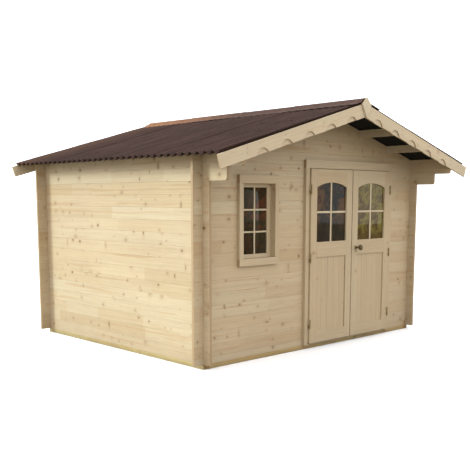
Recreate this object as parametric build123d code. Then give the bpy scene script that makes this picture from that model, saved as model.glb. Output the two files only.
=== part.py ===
"""Garden shed of interlocking logs with a double door, a fixed window and a corrugated roof.

The frame has its origin under the middle of the whole shed, on the ground. +X is to the
right of someone facing the doors, the doors face -Y, and +Z is up. Lengths are millimetres.
"""
from build123d import *
from math import atan, cos, degrees, pi, sin
import os

os.makedirs("parts", exist_ok=True)

# Walls, measured over the outer faces of the logs
WALL_WIDTH = 3260
WALL_DEPTH = 2760
LOG_THICKNESS = 28
LOG_PITCH = 119
LOG_GAP = 0.3
LOG_CHAMFER = 1
SIDE_LOG_EXTENSION = 85
END_LOG_EXTENSION = 112
NOTCH_SLACK = 0.2
SIDE_COURSES = 16
BEARER_HEIGHT = 45
BEARER_WIDTH = 70
FLOOR_THICKNESS = 18
JOIST_COUNT = 5

# Roof: the underside of the sheets is a plane that falls this much for each unit sideways
ROOF_FALL = 0.2836
RIDGE_HEIGHT = 2450
EAVE_REACH = 1927
FRONT_OVERHANG = 537
BACK_OVERHANG = 195
CORBEL_REACH = 316
CORBEL_ROUNDING = 28
PURLIN_PLACES = (607, 1110)
PURLIN_WIDTH = 40
PURLIN_HEIGHT = 78

# Corrugated sheets and the ridge cap
SHEET_THICKNESS = 3
WAVE_COUNT = 36
WAVE_HEIGHT = 35
FACETS_PER_WAVE = 6
SHEET_TOP_GAP = 12
SHEET_REACH = 1880
CAP_LEFT_REACH = 132
CAP_RIGHT_REACH = 243
CAP_ROLL_HALF = 70
CAP_ROLL_RISE = 26

# Boards on the gable edges
BOARD_THICKNESS = 20
BOARD_WIDTH = 127
BOARD_TOP_ABOVE_ROOF = 17
BOARD_TOP_AT_EAVE = 6
SCOOP_SPACING = 300.6
SCOOP_COUNT = 5
SCOOP_FIRST = 211
SCOOP_HALF_CHORD = 75
SCOOP_RISE = 50
SCOOP_DEPTH = 13
PLATE_THICKNESS = 18
PLATE_HALF_WIDTH = 72
PLATE_TOP = 2523
BACK_PLATE_TOP = 2500
PLATE_SIDE = 2452
PLATE_BOTTOM = 2330

# Door frame and leaves, from the middle of the doorway
DOOR_MIDDLE = 455.5
DOOR_FRAME_HALF = 734.5
DOOR_FRAME_TOP = 1942
FRAME_PROUD = 34
JAMB_FACE = 55
DOOR_HEAD_FACE = 85
FRAME_LAP = 30
SILL_HEIGHT = 8
STOP_THICKNESS = 15
STOP_FACE = -5
MOVING_GAP = 5
MEETING_GAP = 12
LEAF_THICKNESS = 40
LEAF_PROUD = 50
LEAF_BOTTOM = 60
STILE_WIDTH = 94
BOTTOM_RAIL_TOP = 180
MIDDLE_RAIL_BOTTOM = 953
MIDDLE_RAIL_TOP = 1110
ARCH_SPRING = 1669
ARCH_RISE = 50
GLASS_THICKNESS = 4
BAR_WIDTH = 22
BAR_DEPTH = 8
PANEL_THICKNESS = 16
PANEL_BOARDS = 5
PANEL_GROOVE = 2.5

# Barrel hinges and the knob
HINGE_HEIGHTS = (265, 950, 1645)
HINGE_LENGTH = 100
HINGE_RADIUS = 7
HINGE_SIDES = 12
HINGE_SPLIT = 1
HINGE_PIN_RADIUS = 3.5
HINGE_PIN_LENGTH = 38
HINGE_LUG_INSET = 8
HINGE_LEAF_LUG = 8
HINGE_FRAME_LUG = 5
HINGE_RUNNING_GAP = 0.08
HINGE_AXIS_PROUD = 59
KNOB_FROM_EDGE = 70
KNOB_HEIGHT = 1030
ROSE_RADIUS = 22
ROSE_DEPTH = 6
KEY_PLATE_RADIUS = 14
KEY_PLATE_DEPTH = 4
KEY_PLATE_DROP = 40

KNOB_ROSE_GAP = 0.5
KNOB_NECK_RADIUS = 9
KNOB_HEAD_START = 46
KNOB_HEAD_RADIUS = 30
KNOB_HEAD_DEPTH = 32
KNOB_BACK_EASE = 12
KNOB_FRONT_EASE = 7
KNOB_SIDES = 16
PLATE_SIDES = 20

# Window, left edge and right edge measured from the middle of the front wall
WINDOW_LEFT = -1205
WINDOW_RIGHT = -672
WINDOW_BOTTOM = 923
WINDOW_TOP = 1777
WINDOW_SIDE_FACE = 52
WINDOW_HEAD_FACE = 80
WINDOW_SILL_FACE = 68
SASH_FACE = 50
SASH_THICKNESS = 30

# Values that follow from the dimensions above
HALF_WIDTH = WALL_WIDTH / 2
FRONT = -(WALL_DEPTH + BACK_OVERHANG - FRONT_OVERHANG) / 2
BACK = FRONT + WALL_DEPTH
ROOF_ANGLE = atan(ROOF_FALL)
BOARD_FRONT = FRONT - FRONT_OVERHANG
BOARD_BACK = BACK + BACK_OVERHANG
LEAF_FACE = FRONT - LEAF_PROUD
LEAF_TOP = DOOR_FRAME_TOP - DOOR_HEAD_FACE - MOVING_GAP
DOOR_CLEAR_HALF = DOOR_FRAME_HALF - JAMB_FACE
LEAF_WIDTH = DOOR_CLEAR_HALF - MOVING_GAP - MEETING_GAP / 2
FULL_COURSE_START = BEARER_HEIGHT + LOG_PITCH / 2
DOOR_LOG_TOP = FULL_COURSE_START + 15 * LOG_PITCH


def roof_height(x):
    """Height of the sheets' underside plane above a point x to the side of the ridge."""
    return RIDGE_HEIGHT - ROOF_FALL * abs(x)


def block(x0, x1, y0, y1, z0, z1):
    """Square-edged block between two corners."""
    size = Box(x1 - x0, y1 - y0, z1 - z0)
    return Pos((x0 + x1) / 2, (y0 + y1) / 2, (z0 + z1) / 2) * size


def across(points, y0, y1):
    """Prism of an outline drawn in X and Z, running from y0 to y1."""
    return extrude(Plane.XZ.offset(-y1) * Polygon(*points, align=None), amount=y1 - y0, dir=(0, -1, 0))


def along(points, x0, x1):
    """Prism of an outline drawn in Y and Z, running from x0 to x1."""
    return extrude(Plane.YZ.offset(x0) * Polygon(*points, align=None), amount=x1 - x0, dir=(1, 0, 0))


def upright(points, z0, z1):
    """Prism of an outline drawn in X and Y, standing from z0 to z1."""
    return extrude(Plane.XY.offset(z0) * Polygon(*points, align=None), amount=z1 - z0, dir=(0, 0, 1))


def save(name, *shapes):
    """Write one named piece, which may hold several like solids."""
    solids = [solid for shape in shapes for solid in shape.solids()]
    shape = solids[0] if len(solids) == 1 else Compound(children=solids)
    export_step(shape, os.path.join("parts", name + ".step"))


def log_outline(low_side, bottom, top, outward):
    """Section of one log: a plank on edge, chamfered along its outer face, so that joints show as V grooves."""
    z0 = bottom + LOG_GAP / 2
    z1 = top - LOG_GAP / 2
    high_side = low_side + LOG_THICKNESS
    c = LOG_CHAMFER
    if outward < 0:
        return [(low_side, z0 + c), (low_side + c, z0), (high_side, z0), (high_side, z1),
                (low_side + c, z1), (low_side, z1 - c)]
    return [(low_side, z0), (high_side - c, z0), (high_side, z0 + c), (high_side, z1 - c),
            (high_side - c, z1), (low_side, z1)]


def web_range(bottom, top):
    """The part of a log's height that is left where another log crosses it."""
    if top - bottom < LOG_PITCH:
        return bottom, bottom + LOG_PITCH / 4
    return bottom + LOG_PITCH / 4, bottom + LOG_PITCH * 3 / 4


def cross_notches(x0, x1, y0, y1, bottom, top):
    """Cutters that leave only a log's web inside a crossing of two walls."""
    low, high = web_range(bottom, top)
    cutters = [block(x0, x1, y0, y1, high, top + LOG_PITCH)]
    if low > bottom:
        cutters.append(block(x0, x1, y0, y1, bottom - 1, low))
    return cutters


ROOF_SPACE = across([(-WALL_WIDTH, 0), (WALL_WIDTH, 0), (WALL_WIDTH, roof_height(WALL_WIDTH)),
                     (0, RIDGE_HEIGHT), (-WALL_WIDTH, roof_height(WALL_WIDTH))],
                    BOARD_FRONT, BOARD_BACK)


def side_log(side, course):
    """One log of a side wall. side is -1 for the left wall and 1 for the right wall."""
    bottom = BEARER_HEIGHT + course * LOG_PITCH
    last = course == SIDE_COURSES - 1
    top = roof_height(HALF_WIDTH - LOG_THICKNESS) + LOG_CHAMFER if last else bottom + LOG_PITCH
    start = FRONT - SIDE_LOG_EXTENSION
    end = BACK + SIDE_LOG_EXTENSION
    if last:
        start = BOARD_FRONT + BOARD_THICKNESS
        end = BOARD_BACK - BOARD_THICKNESS
    if course == SIDE_COURSES - 2:
        start = FRONT - CORBEL_REACH
    low_side = -HALF_WIDTH if side < 0 else HALF_WIDTH - LOG_THICKNESS
    log = across(log_outline(low_side, bottom, top, side), start, end)
    x0 = low_side - 1
    x1 = low_side + LOG_THICKNESS + 1
    for face in (FRONT, BACK - LOG_THICKNESS):
        y0 = face - NOTCH_SLACK
        y1 = face + LOG_THICKNESS + NOTCH_SLACK
        for cutter in cross_notches(x0, x1, y0, y1, bottom, top):
            log -= cutter
    if course >= SIDE_COURSES - 2:
        log -= rounded_end(x0, x1, start, bottom)
    return log & ROOF_SPACE if last else log


def rounded_end(x0, x1, start, bottom):
    """Cutter that rounds the lower front corner of a log which carries the overhang."""
    r = CORBEL_ROUNDING
    corner = block(x0, x1, start - 1, start + r, bottom - 1, bottom + r)
    round_bar = Pos((x0 + x1) / 2, start + r, bottom + r) * Rot(0, 90, 0) * Cylinder(r, x1 - x0)
    return corner - round_bar


def end_course_bounds(course):
    """Bottom and top of a course in the front or back wall, whose first log is a half one."""
    if course == 0:
        return BEARER_HEIGHT, FULL_COURSE_START
    bottom = FULL_COURSE_START + (course - 1) * LOG_PITCH
    return bottom, bottom + LOG_PITCH


def end_log(face, course):
    """One full-width log of the front or back wall, cut to the roof slope."""
    bottom, top = end_course_bounds(course)
    reach = HALF_WIDTH + END_LOG_EXTENSION
    log = along(log_outline(face, bottom, top, -1 if face == FRONT else 1), -reach, reach)
    y0 = face - 1
    y1 = face + LOG_THICKNESS + 1
    for low_side in (-HALF_WIDTH, HALF_WIDTH - LOG_THICKNESS):
        x0 = low_side - NOTCH_SLACK
        x1 = low_side + LOG_THICKNESS + NOTCH_SLACK
        for cutter in cross_notches(x0, x1, y0, y1, bottom, top):
            log -= cutter
    return log & ROOF_SPACE if top > roof_height(reach) else log


def purlin_outline(side, place, slack=0.0):
    """Section of a purlin with its top bevelled to the slope."""
    inner = side * (place - slack)
    outer = side * (place + PURLIN_WIDTH + slack)
    low = roof_height(place) - PURLIN_HEIGHT
    return [(inner, low), (outer, low), (outer, roof_height(outer)), (inner, roof_height(inner))]


def purlins():
    """Two purlins on each slope, from one pair of gable boards to the other."""
    y0 = BOARD_FRONT + BOARD_THICKNESS
    y1 = BOARD_BACK - BOARD_THICKNESS
    return [across(purlin_outline(side, place), y0, y1) for side in (-1, 1) for place in PURLIN_PLACES]


def purlin_pockets():
    """Cutters for the pockets in which the purlins cross the gables."""
    cutters = []
    for side in (-1, 1):
        for place in PURLIN_PLACES:
            points = purlin_outline(side, place, NOTCH_SLACK)
            points[2] = (points[2][0], points[2][1] + 10)
            points[3] = (points[3][0], points[3][1] + 10)
            cutters.append(across(points, BOARD_FRONT, BOARD_BACK))
    return cutters


def gable_logs(face):
    """Logs above the doorway's height, with the pockets that carry the purlins."""
    pockets = purlin_pockets()
    logs = []
    course = 16
    while end_course_bounds(course)[0] < RIDGE_HEIGHT - 20:
        log = end_log(face, course)
        for pocket in pockets:
            log -= pocket
        logs.append(log)
        course += 1
    return logs


def build_walls():
    """All log walls. The front one is split beside the doorway and cut for the window."""
    save("left_wall_logs", *[side_log(-1, course) for course in range(SIDE_COURSES)])
    save("right_wall_logs", *[side_log(1, course) for course in range(SIDE_COURSES)])
    save("back_wall_logs", *[end_log(BACK - LOG_THICKNESS, course) for course in range(16)])
    save("front_gable_logs", *gable_logs(FRONT))
    save("back_gable_logs", *gable_logs(BACK - LOG_THICKNESS))
    doorway = block(DOOR_MIDDLE - DOOR_FRAME_HALF + FRAME_LAP, DOOR_MIDDLE + DOOR_FRAME_HALF - FRAME_LAP,
                    FRONT - 1, FRONT + LOG_THICKNESS + 1, 0, DOOR_LOG_TOP)
    window = block(WINDOW_LEFT + FRAME_LAP, WINDOW_RIGHT - FRAME_LAP, FRONT - 1,
                   FRONT + LOG_THICKNESS + 1, WINDOW_BOTTOM + FRAME_LAP, WINDOW_TOP - FRAME_LAP)
    left = []
    right = []
    for course in range(16):
        log = end_log(FRONT, course) - doorway - window
        for piece in log.solids():
            (left if piece.center().X < DOOR_MIDDLE else right).append(piece)
    save("front_wall_left_logs", *left)
    save("front_wall_right_logs", *right)


def build_base():
    """Treated bearers under the walls, joists between them and the floor on top."""
    w = BEARER_WIDTH
    h = BEARER_HEIGHT
    save("side_bearers", block(-HALF_WIDTH, -HALF_WIDTH + w, FRONT, BACK, 0, h),
         block(HALF_WIDTH - w, HALF_WIDTH, FRONT, BACK, 0, h))
    save("end_bearers", block(-HALF_WIDTH + w, HALF_WIDTH - w, FRONT, FRONT + w, 0, h),
         block(-HALF_WIDTH + w, HALF_WIDTH - w, BACK - w, BACK, 0, h))
    bay = (WALL_WIDTH - w) / (JOIST_COUNT + 1)
    joists = []
    for number in range(JOIST_COUNT):
        middle = -HALF_WIDTH + w / 2 + bay * (number + 1)
        joists.append(block(middle - w / 2, middle + w / 2, FRONT + w, BACK - w, 0, h))
    save("floor_joists", *joists)
    inset = LOG_THICKNESS + 2
    floor = block(-HALF_WIDTH + inset, HALF_WIDTH - inset, FRONT + inset, BACK - inset,
                  h, h + FLOOR_THICKNESS)
    reach = DOOR_FRAME_HALF + 2
    back_lip = FRONT + LOG_THICKNESS + FRAME_PROUD + 2
    floor -= block(DOOR_MIDDLE - reach, DOOR_MIDDLE + reach, FRONT, back_lip, 0, h + FLOOR_THICKNESS)
    save("floor", floor)


def wave_edge(offset, pitch):
    """Points along one face of the sheet, a cosine drawn with straight facets, with a crest at each end."""
    rise = (WAVE_HEIGHT - SHEET_THICKNESS) / 2
    facet = pitch / FACETS_PER_WAVE
    count = WAVE_COUNT * FACETS_PER_WAVE
    return [(facet * (number - count / 2), offset + rise * cos(2 * pi * number / FACETS_PER_WAVE))
            for number in range(count + 1)]


def roof_sheet(side):
    """Corrugated sheet of one slope, its valleys resting on the purlins and walls."""
    pitch = (BOARD_BACK - BOARD_FRONT - 2 * BOARD_THICKNESS) / WAVE_COUNT
    upper = wave_edge(SHEET_THICKNESS / 2, pitch)
    lower = wave_edge(-SHEET_THICKNESS / 2, pitch)
    section = Polygon(*upper, *reversed(lower), align=None)
    down_slope = Vector(side * cos(ROOF_ANGLE), 0, -sin(ROOF_ANGLE))
    outward = Vector(side * sin(ROOF_ANGLE), 0, cos(ROOF_ANGLE))
    length = SHEET_REACH / cos(ROOF_ANGLE)
    start = Vector(0, 0, RIDGE_HEIGHT) + down_slope * SHEET_TOP_GAP + outward * (WAVE_HEIGHT / 2)
    plane = Plane(origin=start, x_dir=(0, side, 0), z_dir=down_slope)
    return extrude(plane * section, amount=length - SHEET_TOP_GAP, dir=down_slope)


def ridge_cap():
    """Cap over the two sheets: a roll with a flange on the crests of each slope, the right one wider."""
    crest = WAVE_HEIGHT / cos(ROOF_ANGLE)
    t = SHEET_THICKNESS / cos(ROOF_ANGLE)

    def underside(x):
        return roof_height(x) + crest

    roll = CAP_ROLL_HALF
    left = CAP_LEFT_REACH
    right = CAP_RIGHT_REACH
    low = [(-left, underside(left)), (-roll, underside(roll)), (0, underside(0) + CAP_ROLL_RISE),
           (roll, underside(roll)), (right, underside(right))]
    high = [(x, z + t) for x, z in low]
    outline = Curve() + [Line(low[0], low[1]), ThreePointArc(*low[1:4]), Line(low[3], low[4]),
                         Line(low[4], high[4]), Line(high[4], high[3]), ThreePointArc(*high[1:4]),
                         Line(high[1], high[0]), Line(high[0], low[0])]
    section = Plane.XZ.offset(-BOARD_BACK) * make_face(outline)
    return extrude(section, amount=BOARD_BACK - BOARD_FRONT, dir=(0, -1, 0))


def gable_board(side, y0, scooped):
    """One board along a gable edge, plumb at the ridge and a little narrower towards its square foot."""
    top = RIDGE_HEIGHT + BOARD_TOP_ABOVE_ROOF
    drop = BOARD_WIDTH / cos(ROOF_ANGLE)
    foot_x = EAVE_REACH - BOARD_WIDTH * sin(ROOF_ANGLE)
    foot_z = top - ROOF_FALL * EAVE_REACH - BOARD_WIDTH * cos(ROOF_ANGLE)
    points = [(0, top), (side * EAVE_REACH, roof_height(EAVE_REACH) + BOARD_TOP_AT_EAVE),
              (side * foot_x, foot_z), (0, top - drop)]
    board = across(points, y0, y0 + BOARD_THICKNESS)
    if scooped:
        for number in range(SCOOP_COUNT):
            board -= scoop(side, SCOOP_FIRST + number * SCOOP_SPACING, top - drop, y0)
    return board


def scoop(side, place, lower_edge, face):
    """Cutter for a shallow rounded hollow on the lower edge of a gable board."""
    radius = (SCOOP_HALF_CHORD ** 2 + SCOOP_RISE ** 2) / (2 * SCOOP_RISE)
    edge_z = lower_edge - ROOF_FALL * place
    turned = Rot(0, side * degrees(ROOF_ANGLE), 0)
    centre = Pos(side * place, face, edge_z) * turned * Pos(0, 0, SCOOP_RISE - radius)
    return centre * Rot(90, 0, 0) * Cylinder(radius, 2 * SCOOP_DEPTH)


def ridge_plate(y0, top):
    """Kite-shaped plate over the joint of two gable boards."""
    points = [(0, PLATE_BOTTOM), (PLATE_HALF_WIDTH, PLATE_SIDE), (0, top),
              (-PLATE_HALF_WIDTH, PLATE_SIDE)]
    return across(points, y0, y0 + PLATE_THICKNESS)


def build_roof():
    """Purlins, sheets, cap and the boards that close the gable edges."""
    save("purlins", *purlins())
    save("left_roof_sheet", roof_sheet(-1))
    save("right_roof_sheet", roof_sheet(1))
    save("ridge_cap", ridge_cap())
    save("front_left_bargeboard", gable_board(-1, BOARD_FRONT, True))
    save("front_right_bargeboard", gable_board(1, BOARD_FRONT, True))
    save("back_left_bargeboard", gable_board(-1, BOARD_BACK - BOARD_THICKNESS, False))
    save("back_right_bargeboard", gable_board(1, BOARD_BACK - BOARD_THICKNESS, False))
    save("front_ridge_plate", ridge_plate(BOARD_FRONT - PLATE_THICKNESS, PLATE_TOP))
    save("back_ridge_plate", ridge_plate(BOARD_BACK, BACK_PLATE_TOP))


def frame_member(x0, x1, z0, z1, web):
    """Door or window frame member: two lips that lap over the logs and a web between them."""
    front = FRONT - FRAME_PROUD
    inner = FRONT + LOG_THICKNESS
    low_x, high_x, low_z, high_z = web
    lips = block(x0, x1, front, FRONT, z0, z1) + block(x0, x1, inner, inner + FRAME_PROUD, z0, z1)
    return lips + block(low_x, high_x, FRONT, inner, low_z, high_z)


def build_door_frame():
    """Jambs and head that grip the logs, a stop behind the leaves and a low sill."""
    low = DOOR_FRAME_TOP - DOOR_HEAD_FACE
    left = DOOR_MIDDLE - DOOR_FRAME_HALF
    right = DOOR_MIDDLE + DOOR_FRAME_HALF
    clear_left = left + JAMB_FACE
    clear_right = right - JAMB_FACE
    save("door_jambs",
         frame_member(left, clear_left, BEARER_HEIGHT, low, (left + FRAME_LAP, clear_left, BEARER_HEIGHT, low)),
         frame_member(clear_right, right, BEARER_HEIGHT, low,
                      (clear_right, right - FRAME_LAP, BEARER_HEIGHT, low)))
    save("door_head", frame_member(left, right, low, DOOR_FRAME_TOP,
                                   (left + FRAME_LAP, right - FRAME_LAP, low, DOOR_LOG_TOP)))
    rear = FRONT + LOG_THICKNESS + FRAME_PROUD
    stop_front = FRONT + STOP_FACE
    sill_top = BEARER_HEIGHT + SILL_HEIGHT
    t = STOP_THICKNESS
    save("door_stops",
         block(clear_left, clear_left + t, stop_front, rear, sill_top, low - t - LOG_GAP),
         block(clear_right - t, clear_right, stop_front, rear, sill_top, low - t - LOG_GAP),
         block(clear_left, clear_right, stop_front, rear, low - t, low))
    save("door_sill", block(clear_left, clear_right, FRONT - FRAME_PROUD, rear, BEARER_HEIGHT, sill_top))


def arched_outline(left, right, bottom, spring):
    """Face with straight sides and a flat arched top."""
    middle = (left + right) / 2
    return make_face(Curve() + [Line((left, spring), (left, bottom)), Line((left, bottom), (right, bottom)),
                                Line((right, bottom), (right, spring)),
                                ThreePointArc((right, spring), (middle, spring + ARCH_RISE), (left, spring))])


def panel_boards(left, right, front):
    """Upright boards of a leaf's lower panel, with a V groove at each joint."""
    pitch = (right - left) / PANEL_BOARDS
    back = front + PANEL_THICKNESS
    g = PANEL_GROOVE
    boards = []
    for number in range(PANEL_BOARDS):
        x0 = left + pitch * number + LOG_GAP / 2
        x1 = x0 + pitch - LOG_GAP
        points = [(x0 + g, front), (x1 - g, front), (x1, front + g), (x1, back), (x0, back), (x0, front + g)]
        boards.append(upright(points, BOTTOM_RAIL_TOP, MIDDLE_RAIL_BOTTOM))
    return boards


def build_leaf(name, side):
    """One door leaf with an arched window over a boarded panel. side is -1 for the left one."""
    hinge_edge = DOOR_MIDDLE + side * (DOOR_CLEAR_HALF - MOVING_GAP)
    meeting_edge = DOOR_MIDDLE + side * MEETING_GAP / 2
    left, right = sorted((hinge_edge, meeting_edge))
    y0 = LEAF_FACE
    y1 = LEAF_FACE + LEAF_THICKNESS
    save(name + "_stiles", block(left, left + STILE_WIDTH, y0, y1, LEAF_BOTTOM, LEAF_TOP),
         block(right - STILE_WIDTH, right, y0, y1, LEAF_BOTTOM, LEAF_TOP))
    inner_left = left + STILE_WIDTH
    inner_right = right - STILE_WIDTH
    arched = arched_outline(inner_left, inner_right, MIDDLE_RAIL_TOP, ARCH_SPRING)
    light = extrude(Plane.XZ.offset(-y1) * arched, amount=LEAF_THICKNESS, dir=(0, -1, 0))
    save(name + "_rails", block(inner_left, inner_right, y0, y1, ARCH_SPRING, LEAF_TOP) - light,
         block(inner_left, inner_right, y0, y1, MIDDLE_RAIL_BOTTOM, MIDDLE_RAIL_TOP),
         block(inner_left, inner_right, y0, y1, LEAF_BOTTOM, BOTTOM_RAIL_TOP))
    middle_y = (y0 + y1) / 2
    save(name + "_panel", *panel_boards(inner_left, inner_right, middle_y - PANEL_THICKNESS / 2))
    glass_back = middle_y + GLASS_THICKNESS / 2
    pane = extrude(Plane.XZ.offset(-glass_back) * arched, amount=GLASS_THICKNESS, dir=(0, -1, 0))
    save(name + "_glass", pane)
    middle_x = (inner_left + inner_right) / 2
    cross_z = (MIDDLE_RAIL_TOP + ARCH_SPRING + ARCH_RISE) / 2
    bars = []
    for bar_front in (middle_y - GLASS_THICKNESS / 2 - BAR_DEPTH, glass_back):
        bar_back = bar_front + BAR_DEPTH
        cross = block(middle_x - BAR_WIDTH / 2, middle_x + BAR_WIDTH / 2, bar_front, bar_back,
                      MIDDLE_RAIL_TOP, ARCH_SPRING + ARCH_RISE)
        cross += block(inner_left, inner_right, bar_front, bar_back,
                       cross_z - BAR_WIDTH / 2, cross_z + BAR_WIDTH / 2)
        bars.append(cross & light)
    save(name + "_glazing_bars", *bars)
    save(name + "_hinge_halves", *[leaf_hinge_half(side, height) for height in HINGE_HEIGHTS])


def hinge_axis(side):
    """Plan position of a leaf's hinge axis: over the gap, ahead of the leaf's face."""
    return DOOR_MIDDLE + side * (DOOR_CLEAR_HALF - MOVING_GAP / 2), FRONT - HINGE_AXIS_PROUD


def hinge_barrel(x, y, low, high):
    """Twelve-sided outside of one hinge barrel."""
    section = Plane.XY.offset(low) * Pos(x, y) * RegularPolygon(HINGE_RADIUS, HINGE_SIDES)
    return extrude(section, amount=high - low, dir=(0, 0, 1))


def leaf_hinge_half(side, height):
    """Upper barrel of a hinge, bored for the pin, with a lug on the leaf's face."""
    x, y = hinge_axis(side)
    low = height + HINGE_SPLIT / 2
    high = height + HINGE_LENGTH / 2
    inner = x - side * MOVING_GAP / 2
    x0, x1 = sorted((inner, inner - side * HINGE_LEAF_LUG))
    lug = block(x0, x1, y, LEAF_FACE, low + HINGE_LUG_INSET, high - HINGE_LUG_INSET)
    bore_top = height + HINGE_PIN_LENGTH + HINGE_SPLIT
    bore = Pos(x, y, (low + bore_top) / 2) * Cylinder(HINGE_PIN_RADIUS + HINGE_RUNNING_GAP, bore_top - low)
    return hinge_barrel(x, y, low, high) + lug - bore


def frame_hinge_half(side, height):
    """Lower barrel of a hinge with its pin and a lug back to the jamb."""
    x, y = hinge_axis(side)
    low = height - HINGE_LENGTH / 2
    high = height - HINGE_SPLIT / 2
    outer = x + side * MOVING_GAP / 2
    x0, x1 = sorted((outer, outer + side * HINGE_FRAME_LUG))
    lug = block(x0, x1, y, FRONT - FRAME_PROUD, low + HINGE_LUG_INSET, high - HINGE_LUG_INSET)
    pin_top = height + HINGE_PIN_LENGTH
    pin = Pos(x, y, (high + pin_top) / 2) * Cylinder(HINGE_PIN_RADIUS, pin_top - high)
    return hinge_barrel(x, y, low, high) + lug + pin


def flat_disc(x, z, radius, depth):
    """Many-sided plate lying on the leaf's face."""
    section = Plane.XZ.offset(-LEAF_FACE) * Pos(x, z) * RegularPolygon(radius, PLATE_SIDES)
    return extrude(section, amount=depth, dir=(0, -1, 0))


def build_knob():
    """Round plates on the right leaf's meeting stile and the knob that turns in the upper one."""
    x = DOOR_MIDDLE + MEETING_GAP / 2 + KNOB_FROM_EDGE
    key_z = KNOB_HEIGHT - KEY_PLATE_DROP
    save("knob_plates", flat_disc(x, KNOB_HEIGHT, ROSE_RADIUS, ROSE_DEPTH),
         flat_disc(x, key_z, KEY_PLATE_RADIUS, KEY_PLATE_DEPTH))
    neck_start = ROSE_DEPTH + KNOB_ROSE_GAP
    neck = Pos(0, 0, neck_start) * RegularPolygon(KNOB_NECK_RADIUS, KNOB_SIDES)
    head = Pos(0, 0, KNOB_HEAD_START) * RegularPolygon(KNOB_HEAD_RADIUS, KNOB_SIDES)
    head = extrude(head, amount=KNOB_HEAD_DEPTH)
    head = chamfer(head.faces().sort_by(Axis.Z)[0].edges(), KNOB_BACK_EASE)
    head = chamfer(head.faces().sort_by(Axis.Z)[-1].edges(), KNOB_FRONT_EASE)
    knob = head + extrude(neck, amount=KNOB_HEAD_START - neck_start)
    save("door_knob", Pos(x, LEAF_FACE, KNOB_HEIGHT) * Rot(90, 0, 0) * knob)


def build_doors():
    """Both leaves, the fixed hinge halves on the jambs and the knob."""
    build_leaf("left_leaf", -1)
    build_leaf("right_leaf", 1)
    halves = [frame_hinge_half(side, height) for side in (-1, 1) for height in HINGE_HEIGHTS]
    save("frame_hinge_halves", *halves)
    build_knob()


def build_window():
    """Fixed window: a deep frame that grips the logs, a sash, its glass and glazing bars."""
    head_low = WINDOW_TOP - WINDOW_HEAD_FACE
    sill_top = WINDOW_BOTTOM + WINDOW_SILL_FACE
    left = WINDOW_LEFT + WINDOW_SIDE_FACE
    right = WINDOW_RIGHT - WINDOW_SIDE_FACE
    web_left = WINDOW_LEFT + FRAME_LAP
    web_right = WINDOW_RIGHT - FRAME_LAP
    save("window_jambs",
         frame_member(WINDOW_LEFT, left, sill_top, head_low, (web_left, left, sill_top, head_low)),
         frame_member(right, WINDOW_RIGHT, sill_top, head_low, (right, web_right, sill_top, head_low)))
    save("window_head_and_sill",
         frame_member(WINDOW_LEFT, WINDOW_RIGHT, head_low, WINDOW_TOP,
                      (web_left, web_right, head_low, WINDOW_TOP - FRAME_LAP)),
         frame_member(WINDOW_LEFT, WINDOW_RIGHT, WINDOW_BOTTOM, sill_top,
                      (web_left, web_right, WINDOW_BOTTOM + FRAME_LAP, sill_top)))
    rear = FRONT + LOG_THICKNESS + FRAME_PROUD
    y0 = rear - SASH_THICKNESS
    glass_left = left + SASH_FACE
    glass_right = right - SASH_FACE
    glass_low = sill_top + SASH_FACE
    glass_high = head_low - SASH_FACE
    sash = block(left, right, y0, rear, sill_top, head_low)
    save("window_sash", sash - block(glass_left, glass_right, y0, rear, glass_low, glass_high))
    pane_front = y0 + (SASH_THICKNESS - GLASS_THICKNESS) / 2
    pane_back = pane_front + GLASS_THICKNESS
    save("window_glass", block(glass_left, glass_right, pane_front, pane_back, glass_low, glass_high))
    middle = (glass_left + glass_right) / 2
    third = (glass_high - glass_low) / 3
    half = BAR_WIDTH / 2
    bars = []
    for bar_front in (pane_front - BAR_DEPTH, pane_back):
        bar_back = bar_front + BAR_DEPTH
        grid = block(middle - half, middle + half, bar_front, bar_back, glass_low, glass_high)
        for row in (1, 2):
            z = glass_low + third * row
            grid += block(glass_left, glass_right, bar_front, bar_back, z - half, z + half)
        bars.append(grid)
    save("window_glazing_bars", *bars)


build_base()
build_walls()
build_roof()
build_door_frame()
build_doors()
build_window()
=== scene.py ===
import bpy
import bmesh
import random
from math import atan, cos, pi, radians, sin
from mathutils import Euler, Matrix, Vector


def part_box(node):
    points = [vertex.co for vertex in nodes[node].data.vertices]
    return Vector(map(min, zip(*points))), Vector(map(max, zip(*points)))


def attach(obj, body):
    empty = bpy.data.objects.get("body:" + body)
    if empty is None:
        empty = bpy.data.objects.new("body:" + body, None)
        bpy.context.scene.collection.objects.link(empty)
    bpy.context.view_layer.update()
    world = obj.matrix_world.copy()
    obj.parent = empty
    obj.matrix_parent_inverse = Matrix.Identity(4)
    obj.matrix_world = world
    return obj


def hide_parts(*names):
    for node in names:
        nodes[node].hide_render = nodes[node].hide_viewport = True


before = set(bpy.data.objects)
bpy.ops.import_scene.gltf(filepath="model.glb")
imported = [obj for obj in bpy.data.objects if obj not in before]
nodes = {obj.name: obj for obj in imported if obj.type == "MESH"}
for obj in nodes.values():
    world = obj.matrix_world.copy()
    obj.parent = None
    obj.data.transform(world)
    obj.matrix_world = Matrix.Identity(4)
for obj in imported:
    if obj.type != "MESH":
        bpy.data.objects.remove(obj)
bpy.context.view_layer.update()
print("frame loaded:", len(nodes), "nodes")

axisVectors = [Vector((1, 0, 0)), Vector((0, 1, 0)), Vector((0, 0, 1))]


# Node helpers, for shader and geometry trees alike: a value that is a socket is linked, any other is set

def setInputs(tree, node, values):
    for name, value in values.items():
        socket = node.inputs[int(name[1:])] if name[0] == "i" and name[1:].isdigit() else node.inputs[name]
        if isinstance(value, bpy.types.NodeSocket):
            tree.links.new(value, socket)
        else:
            socket.default_value = value


def addNode(tree, kind, settings=None, **values):
    node = tree.nodes.new(kind)
    for name, value in (settings or {}).items():
        setattr(node, name, value)
    setInputs(tree, node, values)
    return node


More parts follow.
